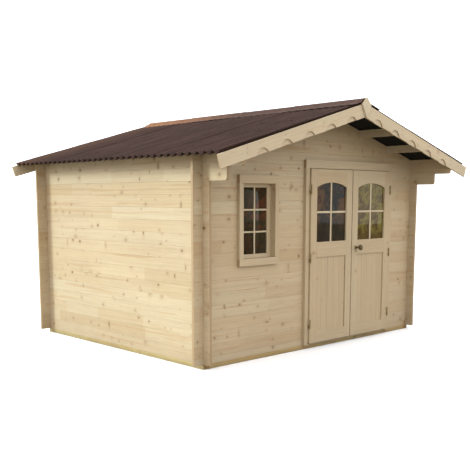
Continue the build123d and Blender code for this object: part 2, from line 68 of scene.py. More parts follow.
def calc(tree, operation, a, b=0.5, c=0.5):
    return addNode(tree, "ShaderNodeMath", {"operation": operation}, i0=a, i1=b, i2=c).outputs[0]


def times(tree, a, b):
    return calc(tree, "MULTIPLY", a, b)


def timesPlus(tree, a, b, c):
    return calc(tree, "MULTIPLY_ADD", a, b, c)


def vectorCalc(tree, operation, a, b):
    return addNode(tree, "ShaderNodeVectorMath", {"operation": operation}, i0=a, i1=b).outputs[0]


def scaled(tree, vector, x, y, z):
    return vectorCalc(tree, "MULTIPLY", vector, (x, y, z))


def axesOf(tree, vector):
    return addNode(tree, "ShaderNodeSeparateXYZ", i0=vector).outputs


def channelsOf(tree, colour):
    return addNode(tree, "ShaderNodeSeparateColor", i0=colour).outputs


def objectPlace(tree):
    return addNode(tree, "ShaderNodeTexCoord").outputs["Object"]


def noiseAt(tree, vector, scale, detail=2.0, rough=0.5):
    return addNode(tree, "ShaderNodeTexNoise", {"noise_dimensions": "3D"}, Vector=vector, Scale=scale,
                   Detail=detail, Roughness=rough).outputs["Fac"]


def noiseAlong(tree, vector, stretch, detail=2.0, rough=0.5):
    return noiseAt(tree, scaled(tree, vector, *stretch), 1.0, detail, rough)


def remap(tree, value, low, high, toLow=0.0, toHigh=1.0, smooth=True):
    settings = {"interpolation_type": "SMOOTHSTEP" if smooth else "LINEAR", "clamp": True}
    node = addNode(tree, "ShaderNodeMapRange", settings, Value=value)
    setInputs(tree, node, {"From Min": low, "From Max": high, "To Min": toLow, "To Max": toHigh})
    return node.outputs["Result"]


def blendColours(tree, factor, first, second, mode="MIX"):
    settings = {"data_type": "RGBA", "blend_type": mode}
    return addNode(tree, "ShaderNodeMix", settings, i0=factor, i6=first, i7=second).outputs[2]


def srgb(r, g, b):
    linear = [(c / 255 / 12.92) if c <= 10 else (((c / 255) + 0.055) / 1.055) ** 2.4 for c in (r, g, b)]
    return (*linear, 1.0)


def socketKind(value):
    if isinstance(value, tuple):
        return "NodeSocketColor" if len(value) == 4 else "NodeSocketVector"
    return {float: "NodeSocketFloat", int: "NodeSocketInt"}.get(type(value), "NodeSocketMaterial")


# a shader or geometry group, whose input sockets take their kind from their first values
def newGroup(name, kind, inputs, outputs):
    group = bpy.data.node_groups.new(name, kind)
    if kind == "GeometryNodeTree":
        group.interface.new_socket("Geometry", in_out="INPUT", socket_type="NodeSocketGeometry")
    for socketName, value in inputs.items():
        socket = group.interface.new_socket(socketName, in_out="INPUT", socket_type=socketKind(value))
        if value is not None:
            socket.default_value = value
    for socketName, socketType in outputs.items():
        group.interface.new_socket(socketName, in_out="OUTPUT", socket_type=socketType)
    return group, group.nodes.new("NodeGroupInput").outputs, group.nodes.new("NodeGroupOutput").inputs


# Sawn softwood: reads each board's own place, so the figure runs along the board it is on

def makeWoodFigure():
    sawn = {"knotCells": 8.5, "knotStretch": 0.62, "knotSmall": 0.0050, "knotSpread": 0.0125,
            "knotWobble": 0.007, "ringLines": 82.0, "ringBend": 0.10, "lengthsPerMetre": 1.15,
            "fingerHalf": 0.0036, "fingerSlope": 2.6, "endRingLines": 1900.0, "heart": (0, 0.03, 0.07)}
    inputs = {"Pale": (0.8, 0.6, 0.4, 1), "Warm": (0.7, 0.5, 0.3, 1), "Ring": (0.5, 0.3, 0.15, 1),
              "Knot": (0.1, 0.05, 0.03, 1), "Knot Share": 0.2, "Figure": 0.4, "Joints": 1.0}
    outputs = {"Colour": "NodeSocketColor", "Roughness": "NodeSocketFloat", "Height": "NodeSocketFloat"}
    group, given, out = newGroup("woodFigure", "ShaderNodeTree", inputs, outputs)
    place = addNode(group, "ShaderNodeAttribute", {"attribute_name": "boardPlace"}).outputs["Vector"]
    tone = addNode(group, "ShaderNodeAttribute", {"attribute_name": "boardTone"}).outputs["Fac"]
    endCut = addNode(group, "ShaderNodeAttribute", {"attribute_name": "endCut"}).outputs["Fac"]
    parts = axesOf(group, place)

    # knots: one chance in each cell of a loose pattern, some round, some drawn out across the board
    wobble = noiseAlong(group, place, (14, 30, 30), 2.0, 0.6)
    cellPlace = scaled(group, place, sawn["knotStretch"], 1, 1)
    cells = addNode(group, "ShaderNodeTexVoronoi", {"voronoi_dimensions": "2D"}, Vector=cellPlace,
                    Scale=sawn["knotCells"])
    chance = channelsOf(group, cells.outputs["Color"])
    spike = remap(group, chance[2], 0.62, 0.95)
    offset = axesOf(group, vectorCalc(group, "SUBTRACT", cellPlace, cells.outputs["Position"]))
    alongKnot = times(group, calc(group, "DIVIDE", offset[0], sawn["knotStretch"]),
                      timesPlus(group, spike, 0.25, 0.85))
    acrossKnot = times(group, offset[1], timesPlus(group, spike, -0.62, 1.0))
    squares = timesPlus(group, alongKnot, alongKnot, times(group, acrossKnot, acrossKnot))
    crowd = remap(group, noiseAlong(group, place, (1.3, 0.5, 0.5), 1.0), 0.35, 0.65, 0.35, 1.6)
    kept = calc(group, "LESS_THAN", chance[0], times(group, given["Knot Share"], crowd))
    away = timesPlus(group, wobble, sawn["knotWobble"], calc(group, "SQRT", squares))
    away = calc(group, "SUBTRACT", away, sawn["knotWobble"] / 2)
    radius = timesPlus(group, calc(group, "POWER", chance[1], 1.8), sawn["knotSpread"],
                  sawn["knotSmall"])
    radii = calc(group, "DIVIDE", away, radius)
    core = times(group, remap(group, radii, 0.55, 1.3, 1.0, 0.0), kept)
    halo = times(group, remap(group, radii, 0.9, 3.4, 1.0, 0.0), kept)

    # growth rings: level lines of a noise stretched along the board, bent round each knot
    drift = noiseAlong(group, place, (0.8, 11, 11), 2.0)
    drift = timesPlus(group, halo, sawn["ringBend"], drift)
    rings = remap(group, calc(group, "SINE", times(group, drift, sawn["ringLines"])), -0.1, 1.0)
    late = times(group, rings, remap(group, drift, 0.35, 0.75, 0.35, 1.0))
    fibres = noiseAlong(group, place, (16, 380, 380), 2.0, 0.6)
    streaks = noiseAlong(group, place, (1.1, 48, 48), 3.0, 0.6)
    bands = noiseAlong(group, place, (0.55, 17, 17), 3.0, 0.65)

    # boards glued end to end from shorter lengths, with fingers where two meet
    fingers = calc(group, "PINGPONG", parts[1], sawn["fingerHalf"])
    alongJoint = timesPlus(group, fingers, sawn["fingerSlope"], parts[0])
    lengths = addNode(group, "ShaderNodeTexVoronoi", {"voronoi_dimensions": "1D"},
                      W=times(group, alongJoint, sawn["lengthsPerMetre"]), Scale=1.0)
    lengthTone = channelsOf(group, lengths.outputs["Color"])
    lengthShift = times(group, calc(group, "SUBTRACT", lengthTone[0], 0.5), given["Joints"])

    # end grain: arcs of growth rings about a heart that lies off the board
    heart = axesOf(group, vectorCalc(group, "SUBTRACT", place, sawn["heart"]))
    squares = timesPlus(group, heart[1], heart[1], times(group, heart[2], heart[2]))
    arcs = calc(group, "SINE", times(group, calc(group, "SQRT", squares), sawn["endRingLines"]))
    endRings = remap(group, arcs, -0.3, 1.0)

    # colour: the board's tone, its lengths, its rings and streaks, its knots and last its cut ends
    mixTone = timesPlus(group, tone, 0.6, 0.2)
    mixTone = timesPlus(group, lengthShift, 0.4, mixTone)
    mixTone = remap(group, mixTone, 0.0, 1.0, smooth=False)
    colour = blendColours(group, mixTone, given["Pale"], given["Warm"])
    colour = blendColours(group, times(group, late, given["Figure"]), colour, given["Ring"])
    streakShade = remap(group, streaks, 0.3, 0.72, 0.92, 1.05, smooth=False)
    fibreShade = remap(group, fibres, 0.2, 0.8, 0.95, 1.05, smooth=False)
    toneShade = remap(group, lengthTone[1], 0.0, 1.0, 0.97, 1.03, smooth=False)
    toneShade = blendColours(group, given["Joints"], (1, 1, 1, 1), toneShade)
    ruddy = times(group, calc(group, "GREATER_THAN", lengthTone[2], 0.86), given["Joints"])
    toneShade = blendColours(group, ruddy, toneShade, (0.93, 0.89, 0.85, 1))
    heartwood = times(group, remap(group, bands, 0.57, 0.66), given["Joints"])
    toneShade = blendColours(group, heartwood, toneShade, (0.89, 0.79, 0.69, 1))
    for shade in (streakShade, fibreShade, toneShade):
        colour = blendColours(group, 1.0, colour, shade, "MULTIPLY")
    colour = blendColours(group, times(group, halo, 0.24), colour, given["Ring"])
    knotShade = times(group, core, timesPlus(group, chance[0], 0.9, 0.22))
    colour = blendColours(group, knotShade, colour, given["Knot"])
    endShade = blendColours(group, times(group, endRings, 0.45), given["Warm"], given["Ring"])
    endShade = blendColours(group, 1.0, endShade, (0.83, 0.80, 0.77, 1), "MULTIPLY")
    group.links.new(blendColours(group, endCut, colour, endShade), out["Colour"])
    rough = remap(group, late, 0.0, 1.0, 0.68, 0.56)
    group.links.new(timesPlus(group, core, -0.14, rough), out["Roughness"])
    height = timesPlus(group, fibres, 0.35, times(group, late, 0.5))
    group.links.new(timesPlus(group, core, 0.6, height), out["Height"])
    return group


# Dirt, shade and sun: darker towards the ground, as soiling and as painted shade near the floor, and uneven
# fading over a large surface

def makeWeather():
    inputs = {"Colour": (0.8, 0.6, 0.4, 1), "Soil": (0.2, 0.15, 0.1, 1), "Soil Height": 0.3,
              "Soil Strength": 0.2, "Fade": 0.08}
    group, given, out = newGroup("weather", "ShaderNodeTree", inputs, {"Colour": "NodeSocketColor"})
    place = objectPlace(group)
    blotch = noiseAt(group, place, 3.2, 4.0, 0.6)
    # darker towards the ground: soiling, and painted shade near the floor
    rise = calc(group, "DIVIDE", axesOf(group, place)[2], given["Soil Height"])
    rise = timesPlus(group, blotch, -1.2, rise)
    soiledAndShaded = times(group, remap(group, rise, -0.75, 0.45, 1.0, 0.0), given["Soil Strength"])
    colour = blendColours(group, soiledAndShaded, given["Colour"], given["Soil"])
    patch = times(group, remap(group, noiseAt(group, place, 0.9, 3.0, 0.55), 0.3, 0.7), given["Fade"])
    group.links.new(blendColours(group, patch, colour, given["Soil"]), out["Colour"])
    return group


woodFigure = makeWoodFigure()
weather = makeWeather()


def newMaterial(name):
    material = bpy.data.materials.new(name)
    material.use_nodes = True
    tree = material.node_tree
    shader = tree.nodes["Principled BSDF"]
    return material, tree, shader


def addBump(tree, shader, height, strength, distance):
    bump = addNode(tree, "ShaderNodeBump", Strength=strength, Distance=distance, Height=height)
    setInputs(tree, shader, {"Normal": bump.outputs["Normal"]})


def makeWoodMaterial(name, look):
    material, tree, shader = newMaterial(name)
    wood = addNode(tree, "ShaderNodeGroup", {"node_tree": woodFigure})
    aged = addNode(tree, "ShaderNodeGroup", {"node_tree": weather})
    setInputs(tree, wood, {"Pale": look["pale"], "Warm": look["warm"], "Ring": look["ring"],
                           "Knot": look["knot"], "Knot Share": look["knots"], "Figure": look["figure"],
                           "Joints": look["joints"]})
    setInputs(tree, aged, {"Colour": wood.outputs["Colour"], "Soil": look["soil"],
                           "Soil Height": look["soilHeight"], "Soil Strength": look["soiledAndShaded"],
                           "Fade": look["fade"]})
    setInputs(tree, shader, {"Base Color": aged.outputs["Colour"], "Roughness": wood.outputs["Roughness"],
                             "Specular IOR Level": 0.32})
    addBump(tree, shader, wood.outputs["Height"], 0.35, 0.0008)
    return material


# spruce shares one set of colours, and each use of it changes some
spruceLook = {
    "pale": srgb(182, 166, 137), "warm": srgb(174, 151, 117), "ring": srgb(142, 109, 75),
    "knot": srgb(96, 62, 30), "knots": 0.12, "figure": 0.16, "joints": 0.0,
    "soil": srgb(114, 93, 72), "soilHeight": 0.1, "soiledAndShaded": 0.0, "fade": 0.06,
}
woodLooks = {
    "spruceLogs": {"knots": 0.50, "figure": 0.14, "joints": 0.8, "soilHeight": 0.35, "soiledAndShaded": 0.22,
                   "fade": 0.10},
    "spruceDoors": {"pale": srgb(177, 160, 131), "warm": srgb(171, 150, 117), "joints": 0.15,
                    "soilHeight": 0.25, "soiledAndShaded": 0.18},
    "sprucePanels": {"pale": srgb(174, 156, 125), "warm": srgb(171, 151, 119), "figure": 0.10,
                     "soilHeight": 0.25, "soiledAndShaded": 0.18},
    "spruceTrim": {"pale": srgb(183, 169, 143), "warm": srgb(175, 156, 126), "joints": 0.3},
    "spruceBars": {"pale": srgb(194, 179, 150), "warm": srgb(186, 168, 136), "knots": 0.0, "figure": 0.10,
                   "fade": 0.04},
    # the treated base darkens towards its bottom edge: a painted shadow along its foot, and soiling
    "treatedTimber": {"pale": srgb(172, 158, 110), "warm": srgb(160, 128, 80), "ring": srgb(112, 86, 46),
                      "knot": srgb(60, 42, 24), "knots": 0.2, "figure": 0.4, "joints": 0.6,
                      "soil": srgb(86, 72, 50), "soilHeight": 0.05, "soiledAndShaded": 0.35, "fade": 0.2},
}
logWood, doorWood, panelWood, trimWood, barWood, treatedWood = [
    makeWoodMaterial(name, {**spruceLook, **look}) for name, look in woodLooks.items()]


def makeSheetMaterial(name, look):
    material, tree, shader = newMaterial(name)
    place = objectPlace(tree)
    x, y = axesOf(tree, place)[:2]
    grit = noiseAt(tree, place, 900.0, 2.0, 0.7)
    cloud = noiseAlong(tree, place, (2.0, 9.0, 2.0), 5.0, 0.65)
    run = noiseAlong(tree, place, (1.2, 34.0, 1.2), 3.0, 0.6)
    colour = blendColours(tree, remap(tree, cloud, 0.35, 0.7), look["base"], look["fade"])
    colour = blendColours(tree, remap(tree, run, 0.5, 0.75, 0.0, 0.5), colour, look["grit"])
    colour = blendColours(tree, remap(tree, grit, 0.45, 0.7, 0.0, 0.45), colour, look["grit"])
    # lighter and tan towards the back end, in patches
    backEndShare = times(tree, remap(tree, y, *look["backEndFrom"]), remap(tree, cloud, 0.25, 0.6, 0.55, 1.0))
    colour = blendColours(tree, backEndShare, colour, look["backEndTan"])
    # painted shade: the underside is darker, as bitumen is beneath and as shade under the roof is, except
    # near the verges and the eave, where it is lightened towards the top's colour
    facing = axesOf(tree, addNode(tree, "ShaderNodeNewGeometry").outputs["True Normal"])
    fromMiddle = calc(tree, "ABSOLUTE", calc(tree, "ADD", y, look["middle"]))
    fromRidge = calc(tree, "ABSOLUTE", x)
    shadedInboard = times(tree, remap(tree, fromMiddle, look["half"] - 0.09, look["half"] - 0.03, 1.0, 0.0),
                    remap(tree, fromRidge, look["reach"] - 0.09, look["reach"] - 0.02, 1.0, 0.55))
    below = times(tree, remap(tree, facing[2], -0.35, -0.05, 1.0, 0.0), shadedInboard)
    colour = blendColours(tree, below, colour, look["underside"])
    rough = remap(tree, grit, 0.2, 0.8, 0.8, 0.95)
    setInputs(tree, shader, {"Base Color": colour, "Roughness": rough, "Specular IOR Level": 0.15})
    addBump(tree, shader, grit, 0.5, 0.0006)
    return material


def makeGlassMaterial(name, look):
    material, tree, shader = newMaterial(name)
    place = objectPlace(tree)
    ripple = noiseAlong(tree, place, (5.0, 5.0, 3.0), 1.0)
    dust = noiseAt(tree, place, 40.0, 4.0, 0.7)
    bend = noiseAt(tree, place, 4.0, 2.0)
    shift = addNode(tree, "ShaderNodeCombineXYZ", i0=bend, i2=bend).outputs[0]
    bent = vectorCalc(tree, "ADD", scaled(tree, place, *look["stretch"]), shift)
    broad = noiseAt(tree, bent, look["scale"], 3.0, 0.6)
    fine = noiseAt(tree, bent, look["scale"] * 3.1, 4.0, 0.65)
    # painted reflection: the pane's base colour is mottled in dark, warm and light patches, and turns
    # another colour towards its foot
    colour = blendColours(tree, remap(tree, broad, *look["warmFrom"]), look["dark"], look["warm"])
    colour = blendColours(tree, remap(tree, fine, 0.50, 0.68, 0.0, 0.8), colour, look["light"])
    height = timesPlus(tree, broad, 0.3, axesOf(tree, place)[2])
    foot = times(tree, remap(tree, height, *look["footFrom"]), 0.75)
    colour = blendColours(tree, foot, colour, look["foot"])
    rough = remap(tree, dust, 0.45, 0.8, 0.0, 0.09)
    setInputs(tree, shader, {"Base Color": colour, "Roughness": rough, "IOR": 1.45,
                             "Transmission Weight": look["clear"], "Specular Tint": look["gloss"]})
    addBump(tree, shader, ripple, 0.12, 0.004)
    return material


def makeMetalMaterial(name, look):
    material, tree, shader = newMaterial(name)
    place = objectPlace(tree)
    wear = noiseAt(tree, place, 60.0, 5.0, 0.65)
    lines = noiseAlong(tree, place, look["brushed"], 2.0, 0.6)
    colour = blendColours(tree, remap(tree, wear, 0.48, 0.72), look["base"], look["worn"])
    rough = remap(tree, lines, 0.2, 0.8, look["rough"] - 0.08, look["rough"] + 0.12)
    setInputs(tree, shader, {"Base Color": colour, "Roughness": rough, "Metallic": look["metal"]})
    addBump(tree, shader, lines, 0.2, 0.0003)
    return material


sheetLow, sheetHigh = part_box("left_roof_sheet")
sheetSpan = {"middle": -(sheetLow.y + sheetHigh.y) / 2, "half": (sheetHigh.y - sheetLow.y) / 2,
             "reach": -sheetLow.x}
sheetSkin = makeSheetMaterial("bitumenSheet", {
    **sheetSpan, "base": srgb(54, 37, 31), "fade": srgb(65, 46, 40), "grit": srgb(38, 25, 20),
    "backEndTan": srgb(84, 60, 46), "backEndFrom": (1.0, 1.9, 0.0, 0.8), "underside": srgb(30, 30, 26)})
capSkin = makeSheetMaterial("bitumenCap", {
    "middle": sheetSpan["middle"], "half": sheetSpan["half"] + 1.0, "reach": 3.0,
    "base": srgb(64, 45, 38), "fade": srgb(75, 56, 48), "grit": srgb(48, 33, 28),
    "backEndTan": srgb(120, 82, 56), "backEndFrom": (-0.3, 1.6, 0.0, 1.0), "underside": srgb(28, 25, 22)})
# each pane's colours paint a reflection onto its glass
paneLook = {"scale": 6.0, "stretch": (1.0, 1.0, 1.0), "clear": 0.8, "warmFrom": (0.42, 0.60)}
paneReflectionLooks = {
    "left_leaf_glass": {"dark": srgb(20, 22, 18), "warm": srgb(146, 98, 38), "light": srgb(136, 118, 66),
                        "foot": srgb(88, 78, 62), "footFrom": (1.60, 1.45), "gloss": (0.10, 0.09, 0.07, 1),
                        "stretch": (1.6, 1.0, 0.8)},
    "right_leaf_glass": {"dark": srgb(124, 92, 40), "warm": srgb(180, 164, 74), "light": srgb(204, 196, 104),
                         "foot": srgb(134, 92, 44), "footFrom": (1.42, 1.30), "gloss": (0.5, 0.42, 0.2, 1),
                         "scale": 7.0},
    "window_glass": {"dark": srgb(84, 76, 54), "warm": srgb(156, 92, 62), "light": srgb(122, 110, 72),
                     "foot": srgb(96, 86, 60), "footFrom": (1.55, 1.40), "gloss": (0.28, 0.24, 0.18, 1),
                     "scale": 5.0, "warmFrom": (0.50, 0.62)},
}
glassFor = {name: makeGlassMaterial(name.title().replace("_", ""), {**paneLook, **look})
            for name, look in paneReflectionLooks.items()}
metalLooks = {
    "bronzedSteel": {"base": srgb(132, 114, 74), "worn": srgb(166, 148, 104), "metal": 0.6, "rough": 0.45,
                     "brushed": (700, 700, 60)},
    "agedBronze": {"base": srgb(84, 70, 44), "worn": srgb(124, 108, 74), "metal": 0.8, "rough": 0.36,
                   "brushed": (400, 400, 400)},
    "darkMetal": {"base": srgb(70, 70, 70), "worn": srgb(128, 126, 120), "metal": 0.9, "rough": 0.34,
                  "brushed": (400, 400, 400)},
}
bronze, agedBronze, darkMetal = [makeMetalMaterial(name, look) for name, look in metalLooks.items()]
print("materials ready")


# Boards: every solid of timber is finished alike, with eased edges and its grain along its length

def newStore():
    return {"verts": [], "faces": [], "place": [], "tone": [], "end": []}


def finishBoard(store, bm, rng, ease, steps, grain=None):
    bmesh.ops.remove_doubles(bm, verts=bm.verts, dist=1e-5)
    bmesh.ops.dissolve_limit(bm, angle_limit=radians(1.5), verts=bm.verts, edges=bm.edges)
    sharp = [e for e in bm.edges if len(e.link_faces) == 2 and e.calc_face_angle(0.0) > radians(28)]
    if ease > 0:
        bmesh.ops.bevel(bm, geom=sharp, offset=ease, segments=steps, affect="EDGES", profile=0.6,
                        clamp_overlap=True)
    low = Vector([min(v.co[i] for v in bm.verts) for i in range(3)])
    high = Vector([max(v.co[i] for v in bm.verts) for i in range(3)])
    middle = (low + high) / 2
    size = high - low
    order = sorted(range(3), key=lambda i: -size[i])
    if grain is None:
        along, across, thin = (axisVectors[i] for i in order)
    else:
        along = Vector(grain).normalized()
        thin = axisVectors[order[2]]
        across = thin.cross(along)
    shift = Vector([rng.uniform(0, 60) for _ in range(2)] + [rng.uniform(-0.01, 0.01)])
    boardTone = rng.random()
    first = len(store["verts"])
    bm.verts.index_update()
    store["verts"] += [tuple(v.co) for v in bm.verts]
    for face in bm.faces:
        store["faces"].append([first + v.index for v in face.verts])
        end = 1.0 if abs(face.normal.dot(along)) > 0.6 else 0.0
        for loop in face.loops:
            p = loop.vert.co - middle
            store["place"] += [p.dot(along) + shift.x, p.dot(across) + shift.y, p.dot(thin) + shift.z]
            store["tone"].append(boardTone)
            store["end"].append(end)


def solidsOf(nodeName):
    whole = bmesh.new()
    whole.from_mesh(nodes[nodeName].data)
    bmesh.ops.remove_doubles(whole, verts=whole.verts, dist=1e-5)
    left = set(whole.faces)
    solids = []
    for seed in whole.faces:
        if seed not in left:
            continue
        left.remove(seed)
        group = [seed]
        stack = [seed]
        while stack:
            for edge in stack.pop().edges:
                for face in edge.link_faces:
                    if face in left:
                        left.remove(face)
                        group.append(face)
                        stack.append(face)
        solid = bmesh.new()
        made = {}
        for face in group:
            corners = []
            for v in face.verts:
                if v not in made:
                    made[v] = solid.verts.new(v.co)
                corners.append(made[v])
            solid.faces.new(corners)
        solid.normal_update()
        solids.append(solid)
    whole.free()
    return solids


def blockSolid(low, high):
    bm = bmesh.new()
    bmesh.ops.create_cube(bm, size=1.0)
    for v in bm.verts:
        v.co = Vector([low[i] if v.co[i] < 0 else high[i] for i in range(3)])
    return bm


def storeToObject(store, name, material, body, replaced=()):
    mesh = bpy.data.meshes.new(name)
    mesh.from_pydata(store["verts"], [], store["faces"])
    for attribute, kind, values, field in (("boardPlace", "FLOAT_VECTOR", store["place"], "vector"),
                                           ("boardTone", "FLOAT", store["tone"], "value"),
                                           ("endCut", "FLOAT", store["end"], "value")):
        layer = mesh.attributes.new(attribute, kind, "CORNER")
        layer.data.foreach_set(field, values)
    mesh.validate()
    return placePiece(mesh, name, material, body, replaced)


def placePiece(mesh, name, material, body, replaced=()):
    mesh.materials.clear()
    mesh.materials.append(material)
    piece = bpy.data.objects.new(name, mesh)
    bpy.context.scene.collection.objects.link(piece)
    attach(piece, body)
    if replaced:
        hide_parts(*replaced)
    return piece


def timberFrom(nodeName, name, material, body, ease, steps, grain=None):
    store = newStore()
    rng = random.Random(nodeName)
    for solid in solidsOf(nodeName):
        finishBoard(store, solid, rng, ease, steps, grain)
        solid.free()
    return storeToObject(store, name, material, body, (nodeName,))


# for each kind: its wood, slot, edge easing and steps, and its nodes with their pieces' names
timber = {
    "log": (logWood, "spruce", 0.0006, 1, {
        "left_wall_logs": "leftWallLogs", "right_wall_logs": "rightWallLogs",
        "back_wall_logs": "backWallLogs",
        "front_wall_left_logs": "frontLogsByWindow", "front_wall_right_logs": "frontLogsByDoor",
        "front_gable_logs": "frontGableLogs", "back_gable_logs": "backGableLogs"}),
    "purlin": (trimWood, "spruce", 0.002, 2, {"purlins": "roofPurlins"}),
    "base": (treatedWood, "treated_timber", 0.002, 2, {
        "side_bearers": "sideBearers", "end_bearers": "endBearers", "floor_joists": "floorJoists"}),
    "frame": (doorWood, "spruce", 0.0018, 2, {
        "door_jambs": "doorJambs", "door_head": "doorHead", "door_stops": "doorStops",
        "door_sill": "doorSill",
        "window_jambs": "windowJambs", "window_head_and_sill": "windowHeadAndSill"}),
}


def buildTimber(*kinds):
    for kind in kinds:
        material, slot, ease, steps, names = timber[kind]
        for nodeName, pieceName in names.items():
            timberFrom(nodeName, pieceName, material, "shed", ease, steps)


buildTimber("log", "purlin", "base")
print("walls and base built")


def layFloor():
    boards = {"width": 0.088, "gap": 0.0008, "ease": 0.001, "narrowest": 0.004, "roundDoor": 0.002}
    low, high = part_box("floor")
    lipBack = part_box("door_jambs")[1].y + boards["roundDoor"]
    doorLow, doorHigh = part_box("door_head")
    store = newStore()
    rng = random.Random("floor")
    y = low.y
    while y < high.y - boards["narrowest"] / 2:
        end = min(y + boards["width"] - boards["gap"], high.y)
        if end - y > boards["narrowest"]:
            spans = [(low.x, high.x)]
            if y < lipBack:
                spans = [(low.x, doorLow.x - boards["roundDoor"]),
                         (doorHigh.x + boards["roundDoor"], high.x)]
                end = min(end, lipBack)
            for x0, x1 in spans:
                finishBoard(store, blockSolid((x0, y, low.z), (x1, end, high.z)), rng, boards["ease"], 1)
        y = end + boards["gap"]
    storeToObject(store, "floorBoards", doorWood, "shed", ("floor",))


layFloor()

roof = {"fall": 0.2836, "ridge": 2.450, "reach": 1.880, "topGap": 0.012, "thick": 0.003, "rise": 0.035,
        "waves": 36}
roofAngle = atan(roof["fall"])
wavePitch = (sheetHigh.y - sheetLow.y) / roof["waves"]
slopeRight = (cos(roofAngle), 0, -sin(roofAngle))
slopeLeft = (-cos(roofAngle), 0, -sin(roofAngle))
for end in ("front", "back"):
    for side, slope in (("left", slopeLeft), ("right", slopeRight)):
        timberFrom(f"{end}_{side}_bargeboard", f"{end}{side.title()}Bargeboard", trimWood, "shed",
                   0.0018, 2, slope)
    timberFrom(f"{end}_ridge_plate", f"{end}RidgePlate", trimWood, "shed", 0.0018, 2, (0, 0, 1))

buildTimber("frame")
for side in ("left", "right"):
    body = side + "_leaf"
    timberFrom(body + "_stiles", side + "LeafStiles", doorWood, body, 0.0022, 2)
    timberFrom(body + "_rails", side + "LeafRails", doorWood, body, 0.0018, 2, (1, 0, 0))
    timberFrom(body + "_panel", side + "LeafPanel", panelWood, body, 0.0006, 1)
print("doors and roof boards built")
for name in ("left_leaf_glass", "right_leaf_glass"):
    nodes[name].data.materials.clear()
    nodes[name].data.materials.append(glassFor[name])


# Turned metal: a profile of radius and height swept round an axis

def latheInto(bm, profile, segments, matrix):
    rings = []
    for radius, height in profile:
        if radius < 1e-6:
            rings.append([bm.verts.new(matrix @ Vector((0, 0, height)))])
            continue
        rings.append([bm.verts.new(matrix @ Vector((radius * cos(2 * pi * i / segments),
                                                     radius * sin(2 * pi * i / segments), height)))
                      for i in range(segments)])
    for lower, upper in zip(rings, rings[1:]):
        for i in range(segments):
            j = (i + 1) % segments
            if len(lower) == 1:
                bm.faces.new((lower[0], upper[j], upper[i]))
            elif len(upper) == 1:
                bm.faces.new((lower[i], lower[j], upper[0]))
            else:
                bm.faces.new((lower[i], lower[j], upper[j], upper[i]))


def meshPiece(bm, name, material, body, replaced=(), smoothAngle=35):
    bmesh.ops.recalc_face_normals(bm, faces=bm.faces)
    mesh = bpy.data.meshes.new(name)
    bm.to_mesh(mesh)
    bm.free()
    for polygon in mesh.polygons:
        polygon.use_smooth = True
    mesh.set_sharp_from_angle(angle=radians(smoothAngle))
    return placePiece(mesh, name, material, body, replaced)


# Glazing bars, moulded: a flat nose with a hollow on each side

def barSolid(low, high, lengthAxis, nose, facing):
    # the bar's face is on the facing side in Y and narrows to its nose
    bm = bmesh.new()
    across = 0 if lengthAxis == 2 else 2
    middle = (low[across] + high[across]) / 2
    half = (high[across] - low[across]) / 2
    back, face = (high.y, low.y) if facing < 0 else (low.y, high.y)
    step = back + (face - back) * 0.45
    profile = [(-half, back), (-half, step), (-nose, face), (nose, face), (half, step), (half, back)]
    rows = []
    for end in (low[lengthAxis], high[lengthAxis]):
        row = []
        for offset, y in profile:
            co = [0, y, 0]
            co[lengthAxis] = end
            co[across] = middle + offset
            row.append(bm.verts.new(co))
        rows.append(row)
    for i in range(len(profile)):
        j = (i + 1) % len(profile)
        bm.faces.new((rows[0][i], rows[0][j], rows[1][j], rows[1][i]))
    bm.faces.new(rows[0])
    bm.faces.new(rows[1])
    bmesh.ops.recalc_face_normals(bm, faces=bm.faces)
    return bm


def glazingBars(nodeName, name, body, rows, width=0.022, span=None):
    bars = {"depth": 0.008, "nose": 0.005, "ease": 0.0007}
    low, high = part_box(nodeName)
    if span:
        low.z, high.z = span
    store = newStore()
    rng = random.Random(nodeName)
    left = (low.x + high.x) / 2 - width / 2
    right = (low.x + high.x) / 2 + width / 2
    for facing, y0, y1 in ((-1, low.y, low.y + bars["depth"]), (1, high.y - bars["depth"], high.y)):
        runs = [((left, low.z), (right, high.z), 2)]
        for i in range(rows):
            z = low.z + (high.z - low.z) * (i + 1) / (rows + 1)
            for x0, x1 in ((low.x, left), (right, high.x)):
                runs.append(((x0, z - width / 2), (x1, z + width / 2), 0))
        for (x0, z0), (x1, z1), lengthAxis in runs:
            bar = barSolid(Vector((x0, y0, z0)), Vector((x1, y1, z1)), lengthAxis, bars["nose"], facing)
            finishBoard(store, bar, rng, bars["ease"], 1)
    return storeToObject(store, name, barWood, body, (nodeName,))


glazingBars("left_leaf_glazing_bars", "leftLeafGlazingBars", "left_leaf", 1)
glazingBars("right_leaf_glazing_bars", "rightLeafGlazingBars", "right_leaf", 1)


def buildSash():
    sash = {"stile": 0.050, "rail": 0.037, "pane": 0.004, "ease": 0.002}
    low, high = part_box("window_sash")
    x0, x1 = low.x + sash["stile"], high.x - sash["stile"]
    z0, z1 = low.z + sash["rail"], high.z - sash["rail"]
    store = newStore()
    rng = random.Random("sash")
    for left, right, bottom, top in ((low.x, x0, low.z, high.z), (x1, high.x, low.z, high.z),
                                     (x0, x1, low.z, z0), (x0, x1, z1, high.z)):
        finishBoard(store, blockSolid((left, low.y, bottom), (right, high.y, top)), rng, sash["ease"], 2)
    storeToObject(store, "windowSash", doorWood, "shed", ("window_sash",))
    middle = (low.y + high.y) / 2
    pane = blockSolid((x0, middle - sash["pane"] / 2, z0), (x1, middle + sash["pane"] / 2, z1))
    bmesh.ops.bevel(pane, geom=pane.edges[:], offset=0.0005, segments=1, affect="EDGES")
    meshPiece(pane, "windowPane", glassFor["window_glass"], "shed", ("window_glass",), 60)
    return z0, z1


glazingBars("window_glazing_bars", "windowGlazingBars", "shed", 2, 0.017, buildSash())


# Roof covering, grown by geometry nodes and then made plain meshes

